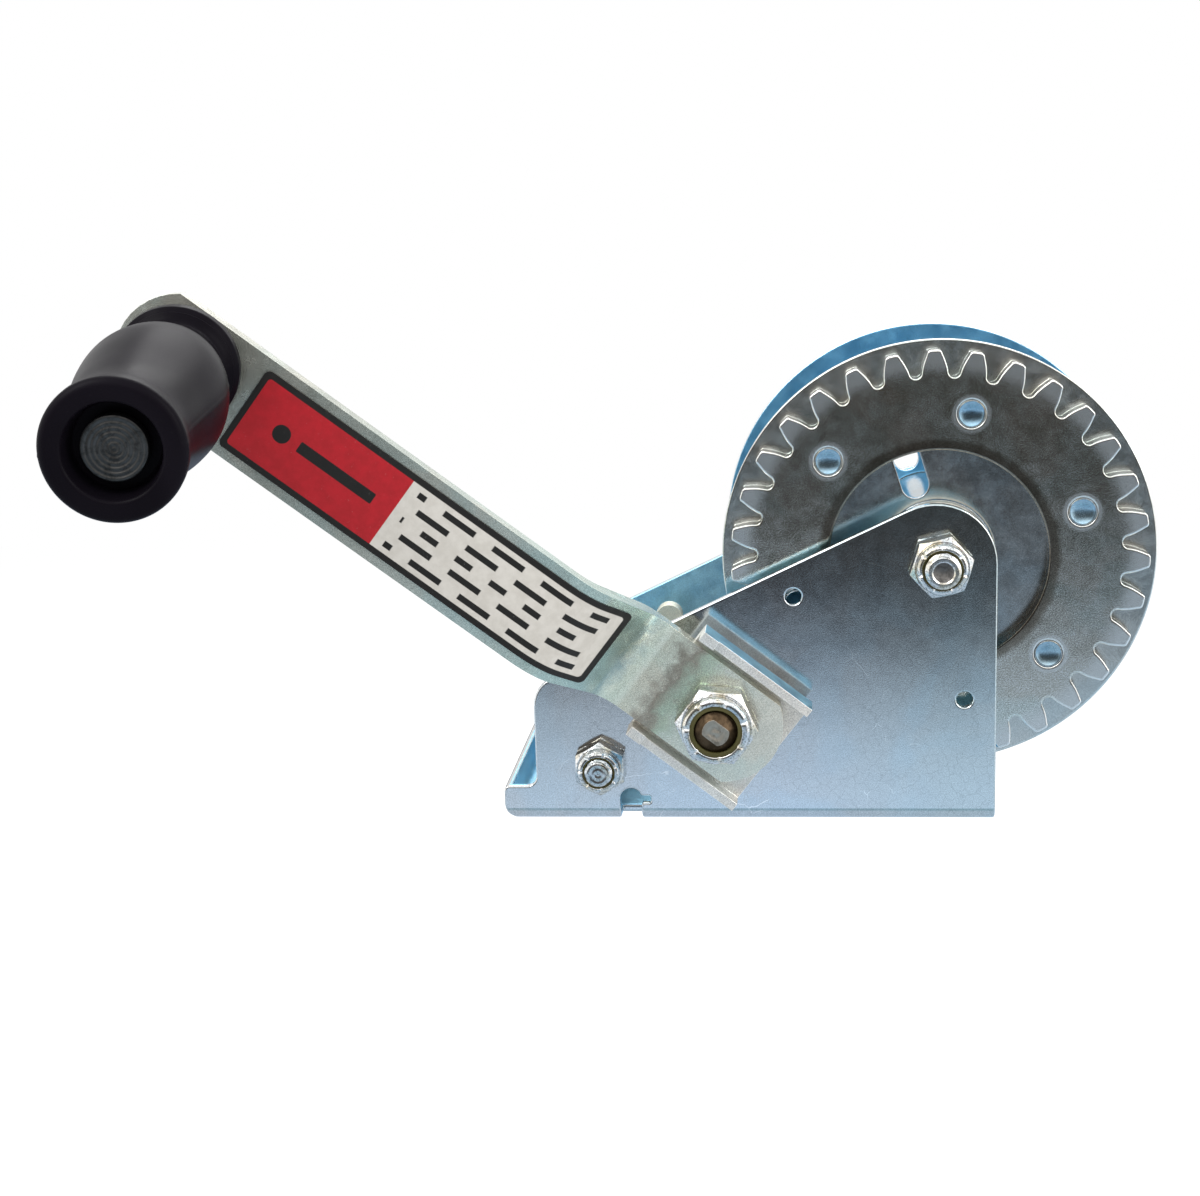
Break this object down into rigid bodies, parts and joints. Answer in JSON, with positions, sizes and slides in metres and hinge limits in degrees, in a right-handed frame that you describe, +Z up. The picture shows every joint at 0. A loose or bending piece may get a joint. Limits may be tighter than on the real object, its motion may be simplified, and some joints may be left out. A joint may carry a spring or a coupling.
{
  "type": "boat trailer winch",
  "caption": "Hand winch for a boat trailer: stamped frame, geared rope drum, ratchet with a lever pawl, and a cranked handle with a free-turning grip.",
  "frame": {"origin": "centre of the flat underside of the frame's base, midway between the side plates", "axes": "+X along the frame towards the drum, -Y towards the crank side, +Z up from the base"},
  "size_m": [0.2811, 0.2222, 0.1597],
  "materials": {
    "frame_zinc": "blue-bright zinc plating on stamped sheet",
    "gear_zinc": "mottled zinc plating, brighter on the teeth",
    "drum_zinc": "mottled zinc plating",
    "bolt_zinc": "bright zinc plating",
    "shaft_steel": "machined steel, lightly oiled",
    "arm_zinc": "zinc plating with a faint rainbow tint",
    "pawl_zinc": "cream passivated zinc",
    "spring_steel": "spring wire",
    "nylon": "olive nylon",
    "bush_plastic": "natural acetal",
    "grip_plastic": "moulded plastic, satin gloss",
    "label_film": "printed vinyl: black border, red panel, off-white panel"
  },
  "bodies": {
    "root": {"frame": "frame_zinc", "drum_sleeve": "shaft_steel", "drum_bolt": "bolt_zinc", "drum_nut": "bolt_zinc", "drum_nut_insert": "nylon", "cross_bolt": "bolt_zinc", "cross_nut": "bolt_zinc", "cross_nut_insert": "nylon", "cross_spacer": "shaft_steel", "pawl_spring": "spring_steel", "shaft_bush_front": "bush_plastic", "shaft_bush_rear": "bush_plastic"},
    "drive": {"drive_shaft": "shaft_steel", "pinion_gear": "shaft_steel", "ratchet_wheel": "shaft_steel", "shaft_spacer": "bolt_zinc", "retaining_ring": "spring_steel", "handle_bracket": "arm_zinc", "crank_arm": "arm_zinc", "arm_label": "label_film", "crank_nut": "bolt_zinc", "crank_nut_insert": "nylon", "grip_pin": "bolt_zinc"},
    "drum": {"drum_gear": "gear_zinc", "drum_front_flange": "drum_zinc", "drum_rear_flange": "drum_zinc", "drum_core": "drum_zinc", "gear_rivet_1": "gear_zinc", "gear_rivet_2": "gear_zinc", "gear_rivet_3": "gear_zinc", "gear_rivet_4": "gear_zinc", "gear_rivet_5": "gear_zinc", "gear_rivet_6": "gear_zinc", "drum_bush_front": "bush_plastic", "drum_bush_rear": "bush_plastic"},
    "grip": {"grip": "grip_plastic"},
    "pawl": {"pawl": "pawl_zinc"}
  },
  "joints": [
    {"name": "crank_spin", "type": "hinge", "parent": "root", "child": "drive", "pos_m": [-0.0076, 0, 0.03475], "axis": [0, 1, 0], "continuous": true},
    {"name": "drum_spin", "type": "hinge", "parent": "root", "child": "drum", "pos_m": [0.0555, 0, 0.0762], "axis": [0, 1, 0], "continuous": true},
    {"name": "grip_spin", "type": "hinge", "parent": "drive", "child": "grip", "pos_m": [-0.14556, -0.08106, 0.14176], "axis": [-0.1304, 0.9863, 0.1012], "continuous": true},
    {"name": "pawl_pivot", "type": "hinge", "parent": "root", "child": "pawl", "pos_m": [-0.0425, 0, 0.0172], "axis": [0, 1, 0], "range_deg": [0, 5.2]}
  ],
  "couplings": [
    {"joint": "drum_spin", "follows": "crank_spin", "ratio": -0.32258}
  ]
}
